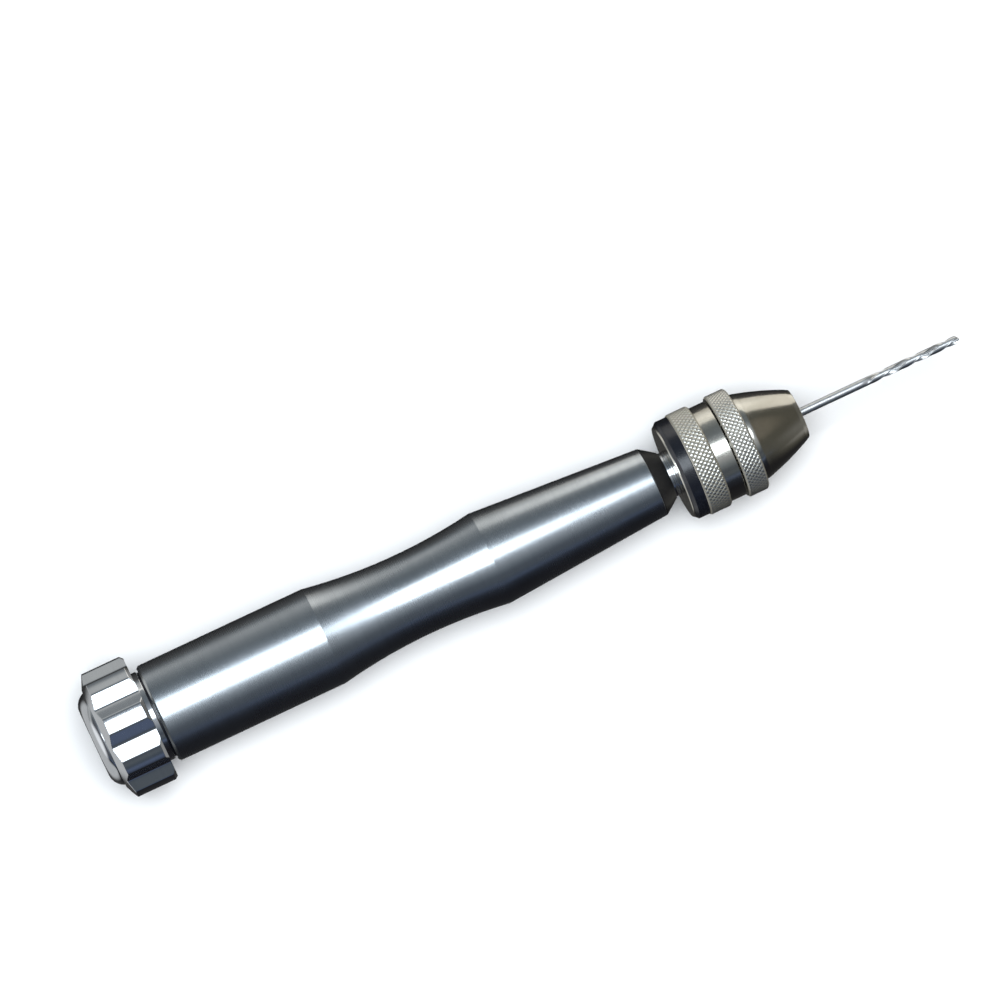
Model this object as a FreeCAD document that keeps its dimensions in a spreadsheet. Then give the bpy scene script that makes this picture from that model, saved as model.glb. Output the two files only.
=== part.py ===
import FreeCAD, Part
import math
import os
import re

import Sketcher

# Pin vise drill: a fluted palm cap that swivels on a ball bearing, a turned aluminium
# handle, and a three-jaw keyless chuck that holds a small twist drill.
#
# Frame: millimetres, +Z up. The tool lies along +X. The origin is on the tool's axis,
# in the middle of the cap's rear face, and the drill's point is at the far end.

# ---------------------------------------------------------------- driving dimensions

# alias, value, meaning. Names ending in _x are stations along the axis, names ending
# in _r are radii.
DIMENSIONS = [
    ("cover_flat_r", 6.6, "flat middle of the palm cover"),
    ("cover_r", 9.2, "palm cover"),
    ("cover_edge_x", 1.9, "end of the palm cover's rounded edge"),
    ("cover_round", 3.2, "radius of that rounded edge"),
    ("cover_front_x", 3.0, "front face of the palm cover"),
    ("rim_rear_x", 2.0, "rear edge of the cap"),
    ("rim_rear_r", 9.7, "cap at its rear edge"),
    ("rim_corner_x", 3.2, "end of the cap's rear chamfer"),
    ("rim_r", 12.5, "cap over its ridges"),
    ("rim_front_x", 11.4, "front face of the cap's rim"),
    ("rim_bevel", 0.6, "chamfer at the front of the rim"),
    ("flute_count", 9, "V-shaped flutes along the rim"),
    ("flute_floor_r", 11.0, "bottom of a flute"),
    ("flute_wall", 23.1, "angle between a flute's wall and the rim, degrees"),
    ("overrun", 1.0, "how far a cutter runs past the surface it cuts"),
    ("cap_neck_r", 8.75, "collar in front of the rim"),
    ("cap_neck_x", 12.4, "front of that collar"),
    ("screw_room_r", 5.6, "space round the screw head"),
    ("bearing_x", 7.0, "rear face of the ball bearing"),
    ("bearing_width", 5.0, "ball bearing"),
    ("bearing_r", 6.5, "outside of the ball bearing"),
    ("outer_race_r", 5.25, "bore of the outer race"),
    ("inner_race_r", 3.25, "outside of the inner race"),
    ("ball_count", 7, "balls in the bearing"),
    ("ball_r", 1.15, "bearing ball"),
    ("ball_ring_r", 4.25, "circle through the ball centres"),
    ("track_r", 1.2, "ball track in the races"),
    ("cage_low_r", 3.95, "cage, inside"),
    ("cage_high_r", 4.55, "cage, outside"),
    ("cage_half", 1.35, "cage, half its width"),
    ("shield_inset", 0.15, "shield below the bearing's face"),
    ("shield_thick", 0.2, "bearing shield"),
    ("shield_low_r", 3.4, "bearing shield, inside"),
    ("screw_r", 2.0, "M4 axle screw"),
    ("thread_bevel", 0.4, "chamfer at the ends of the screw and the spindle"),
    ("screw_head_x", 4.3, "rear of the screw head"),
    ("screw_head_r", 3.5, "screw head"),
    ("screw_head_bevel", 0.3, "chamfer of the screw head"),
    ("screw_end_x", 27.0, "end of the axle screw"),
    ("screw_hole_x", 29.0, "bottom of the handle's screw hole"),
    ("screw_hole_cone", 1.2, "drill point at the bottom of that hole"),
    ("hex_socket", 2.5, "across the flats of the screw's socket"),
    ("hex_depth", 1.6, "depth of the socket"),
    ("handle_x", 12.8, "rear face of the handle"),
    ("dust_gap", 0.05, "running gap between cap and dust washer"),
    ("dust_washer_r", 8.45, "dust washer"),
    ("spacer_r", 3.2, "spacer washer under the inner race"),
    ("handle_r", 9.55, "rear of the handle"),
    ("handle_bevel", 0.4, "chamfer at the handle's rear edge"),
    ("waist_rear_x", 46.4, "rear crease of the waist"),
    ("waist_round", 104.0, "hollow of the waist, lengthwise"),
    ("waist_front_x", 80.1, "front crease of the waist"),
    ("waist_front_r", 9.1, "handle at the front crease"),
    ("handle_front_x", 113.3, "front face of the handle"),
    ("handle_front_r", 6.7, "front of the handle"),
    ("spindle_hole_x", 101.1, "bottom of the handle's spindle hole"),
    ("spindle_hole_cone", 2.3, "drill point at the bottom of that hole"),
    ("spindle_r", 4.0, "M8 thread of the spindle"),
    ("spindle_rear_x", 101.7, "rear end of the spindle"),
    ("collar_front_x", 116.3, "front of the black collar"),
    ("collar_front_r", 4.6, "black collar at its front"),
    ("collar_bore_r", 3.95, "black collar, bore"),
    ("neck_r", 4.35, "spindle's bright neck"),
    ("neck_groove_x", 116.95, "middle of the neck's groove"),
    ("neck_groove_r", 0.2, "that groove"),
    ("chuck_x", 117.6, "rear face of the chuck"),
    ("stud_end_x", 124.2, "front end of the spindle"),
    ("flange_r", 9.15, "flange behind the chuck's black ring"),
    ("flange_bevel", 0.15, "chamfer at the rear of the flange"),
    ("ring_x", 117.9, "rear of the black ring"),
    ("ring_r", 9.8, "black ring"),
    ("ring_bevel", 0.6, "chamfer at the rear of the black ring"),
    ("core_r", 7.8, "chuck body inside its collars"),
    ("knurl_x", 120.6, "rear of the first knurled band"),
    ("knurl_r", 10.1, "over the first knurled band"),
    ("band_x", 125.0, "rear of the plain band"),
    ("band_r", 9.45, "plain band"),
    ("sleeve_x", 128.4, "seam between rear collar and sleeve"),
    ("seam", 0.12, "half the width of that seam"),
    ("sleeve_knurl_r", 10.15, "over the second knurled band"),
    ("knurl_bevel", 0.35, "chamfer at both ends of a knurled band"),
    ("cone_x", 132.6, "front of the second knurled band"),
    ("cone_foot_r", 8.55, "nose cone at its foot"),
    ("cone_round", 55.0, "gentle crown of the nose cone, lengthwise"),
    ("lip_x", 142.6, "front edge of the nose cone"),
    ("lip_r", 5.2, "nose cone at its front edge"),
    ("nose_x", 143.4, "front face of the chuck"),
    ("nose_r", 4.75, "front face of the chuck, outside"),
    ("socket_x", 124.6, "bottom of the chuck's M8 socket"),
    ("bit_bore_r", 2.1, "bore for the drill bit"),
    ("shoulder_x", 127.3, "shoulder that carries the thrust bearing"),
    ("seat_r", 6.75, "body under the thrust bearing"),
    ("thrust_race_thick", 0.4, "thrust race"),
    ("thrust_ball_count", 24, "balls in the thrust bearing"),
    ("thrust_ball_r", 0.45, "ball of the thrust bearing"),
    ("thrust_ring_r", 7.28, "circle through those balls' centres"),
    ("nut_x", 128.7, "rear face of the nut"),
    ("nut_front_x", 132.3, "front face of the nut"),
    ("nut_rear_low_r", 6.3, "bore of the nut at its rear"),
    ("nut_front_low_r", 5.42, "bore of the nut at its front"),
    ("nut_gap", 1.0, "angle left between the nut's halves, degrees"),
    ("nut_room_r", 5.0, "groove of the body under the nut"),
    ("nut_room_x", 128.5, "rear of that groove"),
    ("nut_room_front_x", 132.5, "front of that groove"),
    ("body_cone_r", 6.9, "body behind its cone"),
    ("body_front_x", 143.0, "front of the body"),
    ("body_front_r", 4.2, "body at its front"),
    ("jaw_count", 3, "jaws"),
    ("jaw_r", 1.4, "jaw rod"),
    ("jaw_fit", 0.05, "clearance round a jaw"),
    ("jaw_tilt", 14.0, "angle between a jaw and the tool's axis"),
    ("jaw_tip_x", 142.9, "front of the jaws"),
    ("jaw_tip_r", 1.25, "centre line of a jaw at its front"),
    ("jaw_rear_x", 128.9, "rear of the jaws"),
    ("jaw_hole_x", 124.1, "deep end of a jaw's hole"),
    ("jaw_blank_x", 147.4, "front end of a jaw's blank before it is ground"),
    ("jaw_reach", 8.0, "outer end of a jaw's wedge"),
    ("jaw_apex_r", 0.65, "where a jaw's two flanks would meet"),
    ("grip_fit", 0.005, "clearance between a jaw and the drill bit"),
    ("bit_r", 0.8, "drill bit"),
    ("bit_bevel", 0.15, "chamfer at the drill bit's rear end"),
    ("bit_rear_x", 132.4, "rear end of the drill bit"),
    ("bit_flute_x", 156.0, "rear end of the drill bit's flutes"),
    ("bit_tip_x", 176.3, "point of the drill bit"),
    ("bit_point", 0.48, "length of the drill bit's 118 degree point"),
    ("bit_pitch", 13.0, "one turn of the drill bit's flutes"),
    ("bit_flute_r", 0.66, "hollow of a flute"),
    ("bit_flute_depth_r", 0.9, "centre of that hollow"),
    ("press_fit", 0.02, "gap in joints that are pressed or screwed together"),
    ("running_fit", 0.08, "gap in joints that turn"),
]
ALIASES = {alias for alias, value, meaning in DIMENSIONS}

doc = FreeCAD.newDocument("PinViseDrill")
sheet = doc.addObject("Spreadsheet::Sheet", "Dims")
for row, (alias, value, meaning) in enumerate(DIMENSIONS, start=1):
    sheet.set(f"A{row}", meaning)
    sheet.set(f"B{row}", str(value))
    sheet.setAlias(f"B{row}", alias)
doc.recompute()


# ---------------------------------------------------------------- helpers

def formula(text):
    """Turn aliases in an expression into references to the sheet."""
    return re.sub(r"[a-z_]+", lambda word: "Dims." + word[0] if word[0] in ALIASES else word[0], text)


def bind(thing, path, text):
    thing.setExpression(path, formula(text))


def origin_feature(body, role):
    return next(item for item in body.Origin.OriginFeatures if item.Role == role)


def add_sketch(body, name, plane="XZ_Plane"):
    """An empty sketch on one of the body's own origin planes."""
    sketch = body.newObject("Sketcher::SketchObject", name)
    sketch.AttachmentSupport = [(origin_feature(body, plane), "")]
    sketch.MapMode = "FlatFace"
    return sketch


def bound_constraint(sketch, name, kind, *where_and_value):
    """A dimension of a sketch that follows an expression, given last."""
    *where, text = where_and_value
    number = sketch.addConstraint(Sketcher.Constraint(kind, *where, value_of(sketch, text)))
    sketch.renameConstraint(number, name)
    bind(sketch, "Constraints." + name, text)


def value_of(thing, text):
    return float(thing.evalExpression(formula(text)))


def pin_point(sketch, name, edge, end, across, up):
    """Hold one point of a sketch at two expressions; "0" puts it on the axis."""
    if across == "0":
        sketch.addConstraint(Sketcher.Constraint("PointOnObject", edge, end, -2))
    else:
        bound_constraint(sketch, name + "_across", "DistanceX", -1, 1, edge, end, across)
    if up == "0":
        sketch.addConstraint(Sketcher.Constraint("PointOnObject", edge, end, -1))
    else:
        bound_constraint(sketch, name + "_up", "DistanceY", -1, 1, edge, end, up)


def arc_between(start, end, radius, bulge_left):
    """The short arc from start to end, and whether it runs anticlockwise."""
    chord = end - start
    middle = (start + end) / 2
    left = FreeCAD.Vector(-chord.y, chord.x, 0).normalize()
    offset = math.sqrt(radius ** 2 - (chord.Length / 2) ** 2)
    centre = middle - left * offset if bulge_left else middle + left * offset
    circle = Part.Circle(centre, FreeCAD.Vector(0, 0, 1), radius)
    first, last = (end, start) if bulge_left else (start, end)
    angles = [math.atan2(point.y - centre.y, point.x - centre.x) for point in (first, last)]
    return Part.ArcOfCircle(circle, *angles), not bulge_left


def draw_outline(sketch, corners):
    """A closed outline of corners (across, up). A corner may also say how the edge that
    leaves it is bent: (radius, "left" or "right"), the side the edge swells to."""
    points = [FreeCAD.Vector(value_of(sketch, c[0]), value_of(sketch, c[1]), 0) for c in corners]
    ends = []
    for number, corner in enumerate(corners):
        start = points[number]
        end = points[(number + 1) % len(points)]
        if len(corner) == 2:
            sketch.addGeometry(Part.LineSegment(start, end))
            ends.append((1, 2))
        else:
            radius, side = corner[2]
            arc, forward = arc_between(start, end, value_of(sketch, radius), side == "left")
            sketch.addGeometry(arc)
            ends.append((1, 2) if forward else (2, 1))
    for number, corner in enumerate(corners):
        following = (number + 1) % len(corners)
        sketch.addConstraint(
            Sketcher.Constraint("Coincident", number, ends[number][1], following, ends[following][0]))
        pin_point(sketch, f"corner{number}", number, ends[number][0], corner[0], corner[1])
        if len(corner) == 3:
            bound_constraint(sketch, f"bend{number}", "Radius", number, corner[2][0])


def draw_circle(sketch, across, up, radius):
    centre = FreeCAD.Vector(value_of(sketch, across), value_of(sketch, up), 0)
    circle = Part.Circle(centre, FreeCAD.Vector(0, 0, 1), value_of(sketch, radius))
    edge = sketch.addGeometry(circle)
    pin_point(sketch, "centre", edge, 3, across, up)
    bound_constraint(sketch, "size", "Radius", edge, radius)


def turn(body, corners, name="Turned", angle="360"):
    """Add or begin a solid of revolution about the tool's axis."""
    sketch = add_sketch(body, name + "Outline")
    draw_outline(sketch, corners)
    solid = body.newObject("PartDesign::Revolution", name)
    solid.Profile = sketch
    solid.ReferenceAxis = (origin_feature(body, "X_Axis"), [""])
    bind(solid, "Angle", angle)
    body.Tip = solid
    return solid


def new_body(label):
    body = doc.addObject("PartDesign::Body", label)
    body.Label = label
    return body


def turned_part(label, corners):
    """A sub-part made by turning one outline about the tool's axis."""
    body = new_body(label)
    turn(body, corners)
    return body


def ring_part(label, rear, front, low, high):
    """A plain ring between two stations and two radii."""
    return turned_part(label, [(rear, low), (front, low), (front, high), (rear, high)])


def cut_ring_groove(body, station, radius, size):
    """A round-bottomed groove all the way round."""
    before = checked_volume(body)
    sketch = add_sketch(body, "GrooveOutline")
    draw_circle(sketch, station, radius, size)
    groove = body.newObject("PartDesign::Groove", "RingGroove")
    groove.Profile = sketch
    groove.ReferenceAxis = (origin_feature(body, "X_Axis"), [""])
    groove.Angle = 360
    body.Tip = groove
    assert checked_volume(body) < before, body.Label + ": the groove cut nothing"


def polar_pattern(body, feature, count):
    pattern = body.newObject("PartDesign::PolarPattern", "AroundTheAxis")
    pattern.Originals = [feature]
    pattern.Axis = (origin_feature(body, "X_Axis"), [""])
    pattern.Angle = 360
    bind(pattern, "Occurrences", count)
    body.Tip = pattern
    doc.recompute()
    return pattern


def checked_volume(thing):
    doc.recompute()
    return thing.Shape.Volume


def ball_ring(label, radius, station, ring_radius, count):
    """Equal balls on a circle round the axis, as one group of separate solids."""
    balls = []
    for number in range(int(value_of(sheet, count))):
        ball = doc.addObject("Part::Sphere", label + "_ball")
        turn_angle = f"360 / {count} * {number}"
        bind(ball, "Radius", radius)
        bind(ball, "Placement.Base.x", station)
        bind(ball, "Placement.Base.y", f"{ring_radius} * sin({turn_angle} deg)")
        bind(ball, "Placement.Base.z", f"{ring_radius} * cos({turn_angle} deg)")
        balls.append(ball)
    group = doc.addObject("Part::Compound", label)
    group.Label = label
    group.Links = balls
    return group


# ---------------------------------------------------------------- swivel cap

BEARING_MIDDLE = "bearing_x + bearing_width / 2"
BEARING_FRONT = "bearing_x + bearing_width"


def make_cap_cover():
    return turned_part("cap_cover", [
        ("0", "0"),
        ("cover_front_x", "0"),
        ("cover_front_x", "cover_r"),
        ("cover_edge_x", "cover_r", ("cover_round", "right")),
        ("0", "cover_flat_r"),
    ])


def make_swivel_cap():
    body = turned_part("swivel_cap", [
        ("rim_rear_x", "cover_r + press_fit"),
        ("cover_front_x", "cover_r + press_fit"),
        ("cover_front_x", "screw_room_r"),
        ("bearing_x", "screw_room_r"),
        ("bearing_x", "bearing_r + press_fit"),
        ("cap_neck_x", "bearing_r + press_fit"),
        ("cap_neck_x", "cap_neck_r"),
        ("rim_front_x", "cap_neck_r"),
        ("rim_front_x", "rim_r - rim_bevel"),
        ("rim_front_x - rim_bevel", "rim_r"),
        ("rim_corner_x", "rim_r"),
        ("rim_rear_x", "rim_rear_r"),
    ])
    before = checked_volume(body)
    sketch = add_sketch(body, "FluteOutline", "YZ_Plane")
    depth = "rim_r + overrun"
    half_width = f"({depth} - flute_floor_r) / tan(flute_wall * 1 deg)"
    draw_outline(sketch, [
        ("0", "-flute_floor_r"),
        (half_width, f"-({depth})"),
        (f"-{half_width}", f"-({depth})"),
    ])
    flute = body.newObject("PartDesign::Pocket", "Flute")
    flute.Profile = sketch
    flute.Reversed = True
    bind(flute, "Length", "rim_front_x + overrun")
    body.Tip = flute
    assert checked_volume(body) < before, "the flute cut nothing"
    polar_pattern(body, flute, "flute_count")
    return body


def make_bearing():
    outer = ring_part("bearing_outer_race", "bearing_x", BEARING_FRONT, "outer_race_r", "bearing_r")
    inner = ring_part(
        "bearing_inner_race", "bearing_x", BEARING_FRONT, "screw_r + press_fit", "inner_race_r")
    for race in (outer, inner):
        cut_ring_groove(race, BEARING_MIDDLE, "ball_ring_r", "track_r")
    balls = ball_ring("bearing_balls", "ball_r", BEARING_MIDDLE, "ball_ring_r", "ball_count")
    return [outer, inner, balls, make_bearing_cage(), make_bearing_shields()]


def make_bearing_cage():
    """A ring with a round pocket for each ball."""
    ring = ring_part(
        "CageRing", f"{BEARING_MIDDLE} - cage_half", f"{BEARING_MIDDLE} + cage_half",
        "cage_low_r", "cage_high_r")
    pockets = ball_ring("CagePockets", "track_r", BEARING_MIDDLE, "ball_ring_r", "ball_count")
    cage = doc.addObject("Part::Cut", "bearing_cage")
    cage.Label = "bearing_cage"
    cage.Base = ring
    cage.Tool = pockets
    return cage


def make_bearing_shields():
    """A thin plate at each face of the bearing, held by the outer race."""
    high = "outer_race_r - press_fit"
    rear = "bearing_x + shield_inset"
    front = f"{BEARING_FRONT} - shield_inset"
    plates = [
        ring_part("ShieldRear", rear, f"{rear} + shield_thick", "shield_low_r", high),
        ring_part("ShieldFront", f"{front} - shield_thick", front, "shield_low_r", high),
    ]
    group = doc.addObject("Part::Compound", "bearing_shields")
    group.Label = "bearing_shields"
    group.Links = plates
    return group


def make_axle_screw():
    """M4 cap screw: its head sits in the cap and clamps the inner race to the handle."""
    body = turned_part("axle_screw", [
        ("screw_head_x", "0"),
        ("screw_end_x", "0"),
        ("screw_end_x", "screw_r - thread_bevel"),
        ("screw_end_x - thread_bevel", "screw_r"),
        ("bearing_x", "screw_r"),
        ("bearing_x", "screw_head_r"),
        ("screw_head_x + screw_head_bevel", "screw_head_r"),
        ("screw_head_x", "screw_head_r - screw_head_bevel"),
    ])
    before = checked_volume(body)
    sketch = add_sketch(body, "HexOutline", "YZ_Plane")
    bind(sketch, "AttachmentOffset.Base.z", "screw_head_x")
    flat = "hex_socket / 2"
    shoulder = f"{flat} * tan(30 deg)"
    point = f"{flat} / cos(30 deg)"
    draw_outline(sketch, [
        (flat, f"-{shoulder}"),
        (flat, shoulder),
        ("0", point),
        (f"-{flat}", shoulder),
        (f"-{flat}", f"-{shoulder}"),
        ("0", f"-{point}"),
    ])
    socket = body.newObject("PartDesign::Pocket", "HexSocket")
    socket.Profile = sketch
    socket.Reversed = True
    bind(socket, "Length", "hex_depth")
    body.Tip = socket
    assert checked_volume(body) < before, "the hex socket cut nothing"
    return body


# ---------------------------------------------------------------- handle and spindle

def make_handle():
    barrel = turned_part("handle_barrel", [
        ("handle_x", "screw_r + press_fit"),
        ("screw_hole_x", "screw_r + press_fit"),
        ("screw_hole_x + screw_hole_cone", "0"),
        ("spindle_hole_x - spindle_hole_cone", "0"),
        ("spindle_hole_x", "spindle_r + press_fit"),
        ("handle_front_x", "spindle_r + press_fit"),
        ("handle_front_x", "handle_front_r"),
        ("waist_front_x", "waist_front_r", ("waist_round", "left")),
        ("waist_rear_x", "handle_r"),
        ("handle_x + handle_bevel", "handle_r"),
        ("handle_x", "handle_r - handle_bevel"),
    ])
    spacer = ring_part(
        "spacer_washer", BEARING_FRONT, "handle_x", "screw_r + press_fit", "spacer_r")
    dust = ring_part(
        "dust_washer", "cap_neck_x + dust_gap", "handle_x", "spacer_r + press_fit", "dust_washer_r")
    collar = turned_part("front_collar", [
        ("handle_front_x", "collar_bore_r"),
        ("collar_front_x", "collar_bore_r"),
        ("collar_front_x", "collar_front_r"),
        ("handle_front_x", "handle_front_r"),
    ])
    return [barrel, spacer, dust, collar]


def make_spindle():
    """Threaded rod with a bright neck: joins the handle to the chuck."""
    body = turned_part("spindle", [
        ("spindle_rear_x", "0"),
        ("stud_end_x", "0"),
        ("stud_end_x", "spindle_r - thread_bevel"),
        ("stud_end_x - thread_bevel", "spindle_r"),
        ("chuck_x", "spindle_r"),
        ("chuck_x", "neck_r"),
        ("collar_front_x", "neck_r"),
        ("collar_front_x", "collar_bore_r - press_fit"),
        ("handle_front_x", "collar_bore_r - press_fit"),
        ("handle_front_x", "spindle_r"),
        ("spindle_rear_x + thread_bevel", "spindle_r"),
        ("spindle_rear_x", "spindle_r - thread_bevel"),
    ])
    cut_ring_groove(body, "neck_groove_x", "neck_r", "neck_groove_r")
    return body


# ---------------------------------------------------------------- chuck

JAW_LINE_R = "jaw_tip_r + (jaw_tip_x - {station}) * tan(jaw_tilt * 1 deg)"


def tilt_like_a_jaw(cylinder, station, radius):
    """Put a cylinder on a jaw's line, starting at a station and pointing forwards."""
    cylinder.Placement = FreeCAD.Placement(
        FreeCAD.Vector(), FreeCAD.Rotation(FreeCAD.Vector(0, 1, 0), 90 + sheet.jaw_tilt))
    bind(cylinder, "Placement.Base.x", station)
    bind(cylinder, "Placement.Base.z", JAW_LINE_R.format(station=station))
    bind(cylinder, "Radius", radius)
    bind(cylinder, "Height", f"(jaw_blank_x - {station}) / cos(jaw_tilt * 1 deg)")


def make_chuck_body():
    body = turned_part("chuck_body", [
        ("chuck_x", "spindle_r + press_fit"),
        ("socket_x", "spindle_r + press_fit"),
        ("socket_x", "bit_bore_r"),
        ("body_front_x", "bit_bore_r"),
        ("body_front_x", "body_front_r"),
        ("cone_x", "body_cone_r"),
        ("nut_room_front_x", "body_cone_r"),
        ("nut_room_front_x", "nut_room_r"),
        ("nut_room_x", "nut_room_r"),
        ("nut_room_x", "seat_r"),
        ("shoulder_x", "seat_r"),
        ("shoulder_x", "core_r"),
        ("ring_x", "core_r"),
        ("ring_x", "flange_r"),
        ("chuck_x + flange_bevel", "flange_r"),
        ("chuck_x", "flange_r - flange_bevel"),
    ])
    before = checked_volume(body)
    hole = body.newObject("PartDesign::SubtractiveCylinder", "JawHole")
    tilt_like_a_jaw(hole, "jaw_hole_x", "jaw_r + jaw_fit")
    body.Tip = hole
    assert checked_volume(body) < before, "the jaw hole cut nothing"
    polar_pattern(body, hole, "jaw_count")
    return body


def make_chuck_collars():
    black_ring = turned_part("backing_ring", [
        ("ring_x", "core_r + press_fit"),
        ("knurl_x", "core_r + press_fit"),
        ("knurl_x", "ring_r"),
        ("ring_x + ring_bevel", "ring_r"),
        ("ring_x", "ring_r - ring_bevel"),
    ])
    rear_collar = turned_part("rear_collar", [
        ("knurl_x", "core_r + press_fit"),
        ("sleeve_x - seam", "core_r + press_fit"),
        ("sleeve_x - seam", "band_r"),
        ("band_x", "band_r"),
        ("band_x", "knurl_r - knurl_bevel"),
        ("band_x - knurl_bevel", "knurl_r"),
        ("knurl_x + knurl_bevel", "knurl_r"),
        ("knurl_x", "knurl_r - knurl_bevel"),
    ])
    sleeve = turned_part("front_sleeve", [
        ("sleeve_x + seam", "core_r + press_fit"),
        ("nut_room_front_x", "core_r + press_fit"),
        ("cone_x", "body_cone_r + running_fit"),
        ("body_front_x", "body_front_r + running_fit"),
        ("nose_x", "body_front_r + running_fit"),
        ("nose_x", "nose_r"),
        ("lip_x", "lip_r", ("cone_round", "left")),
        ("cone_x", "cone_foot_r"),
        ("cone_x", "sleeve_knurl_r - knurl_bevel"),
        ("cone_x - knurl_bevel", "sleeve_knurl_r"),
        ("sleeve_x + seam + knurl_bevel", "sleeve_knurl_r"),
        ("sleeve_x + seam", "sleeve_knurl_r - knurl_bevel"),
    ])
    return [black_ring, rear_collar, sleeve]


def make_nut():
    """The cone-threaded nut is split in two so that it fits into the body's groove."""
    halves = []
    for label, turned_by in (("nut_half_a", 0), ("nut_half_b", 180)):
        body = new_body(label)
        turn(body, [
            ("nut_x", "nut_rear_low_r"),
            ("nut_front_x", "nut_front_low_r"),
            ("nut_front_x", "core_r"),
            ("nut_x", "core_r"),
        ], angle="180 - nut_gap")
        body.Placement = FreeCAD.Placement(
            FreeCAD.Vector(), FreeCAD.Rotation(FreeCAD.Vector(1, 0, 0), turned_by))
        halves.append(body)
    return halves


def make_thrust_bearing():
    race = ring_part(
        "thrust_race", "shoulder_x", "shoulder_x + thrust_race_thick",
        "seat_r + press_fit", "core_r - press_fit")
    balls = ball_ring(
        "thrust_balls", "thrust_ball_r", "shoulder_x + thrust_race_thick + thrust_ball_r + press_fit",
        "thrust_ring_r", "thrust_ball_count")
    return [race, balls]


def make_jaws():
    """Each jaw is a tilted rod, ground to a wedge where it grips the drill bit."""
    jaws = []
    for number in range(int(sheet.jaw_count)):
        rod = doc.addObject("Part::Cylinder", "JawRod")
        tilt_like_a_jaw(rod, "jaw_hole_x", "jaw_r")
        jaw = doc.addObject("Part::Common", f"jaw_{number + 1}")
        jaw.Label = f"jaw_{number + 1}"
        jaw.Base = rod
        jaw.Tool = make_jaw_wedge()
        jaw.Placement = FreeCAD.Placement(
            FreeCAD.Vector(),
            FreeCAD.Rotation(FreeCAD.Vector(1, 0, 0), 360 / int(sheet.jaw_count) * number))
        jaws.append(jaw)
    return jaws


def make_jaw_wedge():
    """The third of the space round the bit that belongs to one jaw."""
    wedge = new_body("JawWedge")
    sketch = add_sketch(wedge, "WedgeOutline", "YZ_Plane")
    bind(sketch, "AttachmentOffset.Base.z", "jaw_rear_x")
    slope = "tan(60 deg)"
    grip = "bit_r + grip_fit"
    draw_outline(sketch, [
        (f"({grip} - jaw_apex_r) * {slope}", grip),
        (f"(jaw_reach - jaw_apex_r) * {slope}", "jaw_reach"),
        (f"-(jaw_reach - jaw_apex_r) * {slope}", "jaw_reach"),
        (f"-({grip} - jaw_apex_r) * {slope}", grip),
    ])
    block = wedge.newObject("PartDesign::Pad", "WedgeBlock")
    block.Profile = sketch
    bind(block, "Length", "jaw_tip_x - jaw_rear_x")
    wedge.Tip = block
    return wedge


def make_drill_bit():
    body = turned_part("drill_bit", [
        ("bit_rear_x", "0"),
        ("bit_tip_x", "0"),
        ("bit_tip_x - bit_point", "bit_r"),
        ("bit_rear_x + bit_bevel", "bit_r"),
        ("bit_rear_x", "bit_r - bit_bevel"),
    ])
    before = checked_volume(body)
    sketch = add_sketch(body, "FluteOutline")
    draw_circle(sketch, "bit_flute_x", "bit_flute_depth_r", "bit_flute_r")
    flute = body.newObject("PartDesign::SubtractiveHelix", "Flute")
    flute.Profile = sketch
    flute.ReferenceAxis = (origin_feature(body, "X_Axis"), [""])
    flute.Mode = "pitch-height-angle"
    flute.Refine = False
    bind(flute, "Pitch", "bit_pitch")
    bind(flute, "Height", "bit_tip_x - bit_flute_x + overrun")
    body.Tip = flute
    assert checked_volume(body) < before, "the flute cut nothing"
    polar_pattern(body, flute, "2")
    return body


# ---------------------------------------------------------------- build and write

sub_parts = [make_cap_cover(), make_swivel_cap(), *make_bearing(), make_axle_screw()]
sub_parts += [*make_handle(), make_spindle()]
sub_parts += [make_chuck_body(), *make_chuck_collars(), *make_nut(), *make_thrust_bearing()]
sub_parts += [*make_jaws(), make_drill_bit()]
doc.recompute()

for item in doc.Objects:
    if "Invalid" in item.State or "Error" in item.State:
        raise RuntimeError(f"{item.Label} did not compute: {item.State}")
for part in sub_parts:
    if part.Shape.isNull() or not part.Shape.isValid() or not part.Shape.Solids:
        raise RuntimeError(f"{part.Label} is not a valid solid")

os.makedirs("parts", exist_ok=True)
for part in sub_parts:
    part.Shape.exportStep(os.path.join("parts", part.Label + ".step"))
    box = part.Shape.BoundBox
    print(f"{part.Label:20s} {len(part.Shape.Solids):2d} solids {part.Shape.Volume:10.2f} mm3 "
          f"X {box.XMin:7.2f} {box.XMax:7.2f}  Z {box.ZMin:7.2f} {box.ZMax:7.2f}")
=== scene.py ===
import math

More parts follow.
